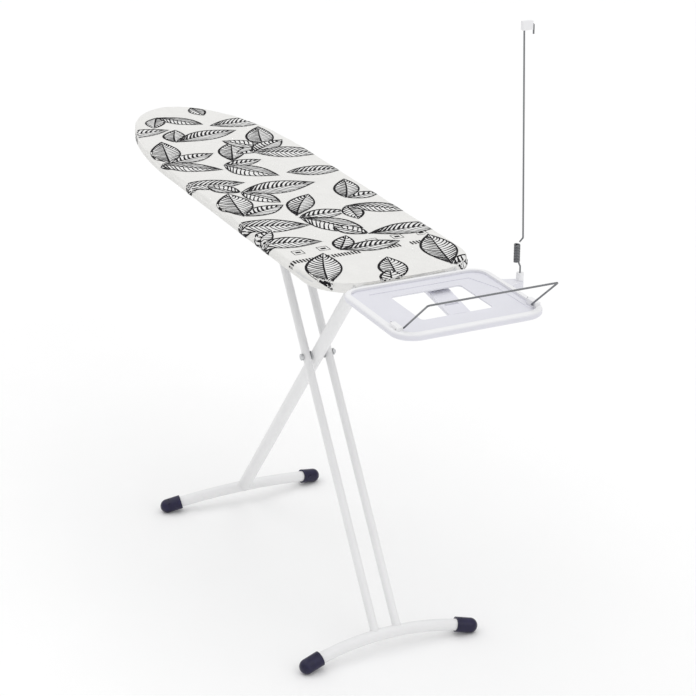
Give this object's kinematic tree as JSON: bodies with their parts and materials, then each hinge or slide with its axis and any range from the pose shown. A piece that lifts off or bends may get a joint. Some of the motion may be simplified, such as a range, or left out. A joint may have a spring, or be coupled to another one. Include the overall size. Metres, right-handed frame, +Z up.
{
  "type": "ironing board",
  "caption": "Folding ironing board with padded patterned cover, iron tray with hanging rail, sprung cord guide and scissor legs on arched feet.",
  "frame": {"origin": "centre of the bounding box on the floor", "axes": "+X along the board from the nose to the iron tray, +Y across towards the cord guide, +Z up"},
  "size_m": [1.8009, 0.456, 1.496],
  "materials": {
    "cover_cloth": "matte woven cotton",
    "pad_foam": "matte foam",
    "board_plastic": "matte",
    "white_steel": "semi-gloss powder coat",
    "zinc_steel": "satin",
    "chrome_wire": "polished",
    "white_plastic": "satin moulded",
    "grey_plastic": "matte",
    "navy_plastic": "satin"
  },
  "bodies": {
    "board": {"board_pad": "pad_foam", "board_cover": "cover_cloth", "board_shell": "board_plastic", "guide_rail_left": "white_steel", "guide_rail_right": "white_steel", "rail_screws": "zinc_steel", "crossbar_rear": "white_steel", "crossbar_front": "white_steel", "end_stops": "grey_plastic", "height_rack": "zinc_steel", "leg_bracket": "white_steel", "rear_axle": "zinc_steel", "axle_spacers": "grey_plastic", "strip_staples": "grey_plastic", "tray_arm_left": "white_steel", "tray_arm_right": "white_steel", "tray_screws": "zinc_steel", "hinge_clip_left": "white_plastic", "hinge_clip_right": "white_plastic", "rail_stop_wires": "chrome_wire", "guide_bracket": "white_plastic", "guide_screws": "zinc_steel", "iron_tray": "white_plastic"},
    "rear_leg": {"rear_leg_tube": "white_steel", "rear_leg_head": "white_steel", "scissor_bushing": "grey_plastic", "scissor_spacers": "grey_plastic", "rear_foot_tube": "white_steel", "rear_foot_cap_left": "navy_plastic", "rear_foot_cap_right": "navy_plastic"},
    "front_leg": {"front_leg_tube_left": "white_steel", "front_leg_tube_right": "white_steel", "slider_pin_left": "zinc_steel", "slider_pin_right": "zinc_steel", "front_leg_plugs": "grey_plastic", "scissor_bolt": "zinc_steel", "scissor_nut": "zinc_steel", "front_foot_tube": "white_steel", "front_foot_cap_left": "navy_plastic", "front_foot_cap_right": "navy_plastic"},
    "slider": {"slider_carriage": "grey_plastic", "pawl_pin": "zinc_steel"},
    "pawl": {"lock_pawl": "grey_plastic"},
    "release": {"release_strip": "zinc_steel", "release_handle": "white_plastic"},
    "hanger": {"hanging_rail": "chrome_wire"},
    "guide_base": {"guide_stub": "chrome_wire", "guide_spring": "chrome_wire"},
    "guide_tip": {"guide_rod": "chrome_wire", "guide_clip": "white_plastic"}
  },
  "joints": [
    {"name": "leg_fold", "type": "hinge", "parent": "board", "child": "rear_leg", "pos_m": [0.338, 0, 0.9], "axis": [0, 1, 0], "range_deg": [0, 48]},
    {"name": "scissor_fold", "type": "hinge", "parent": "rear_leg", "child": "front_leg", "pos_m": [0.08184, 0, 0.59855], "axis": [0, -1, 0], "range_deg": [0, 102.5]},
    {"name": "slider_level", "type": "hinge", "parent": "front_leg", "child": "slider", "pos_m": [-0.1195, 0, 0.9], "axis": [0, 1, 0], "range_deg": [0, 54.5]},
    {"name": "release_pull", "type": "slide", "parent": "board", "child": "release", "axis": [1, 0, 0], "range_m": [0, 0.012], "stiffness_N_per_m": 600, "springref_m": -0.008},
    {"name": "pawl_tilt", "type": "hinge", "parent": "slider", "child": "pawl", "pos_m": [-0.0975, 0, 0.91675], "axis": [0, -1, 0], "range_deg": [0, 12.1]},
    {"name": "rail_swing", "type": "hinge", "parent": "board", "child": "hanger", "pos_m": [0.798, 0, 0.951], "axis": [0, -1, 0], "range_deg": [0, 137.8]},
    {"name": "guide_turn", "type": "hinge", "parent": "board", "child": "guide_base", "pos_m": [0.652, 0.204, 0.95], "axis": [0, 0, 1], "range_deg": [-170, 170]},
    {"name": "guide_flex", "type": "hinge", "parent": "guide_base", "child": "guide_tip", "pos_m": [0.652, 0.2002, 1.028], "axis": [1, 0, 0], "range_deg": [-25, 25], "stiffness_Nm_per_rad": 1.2}
  ],
  "couplings": [
    {"joint": "scissor_fold", "follows": "leg_fold", "ratio": 2.1333},
    {"joint": "slider_level", "follows": "leg_fold", "ratio": 1.1333},
    {"joint": "pawl_tilt", "follows": "release_pull", "rad_per_m": 17.453}
  ]
}
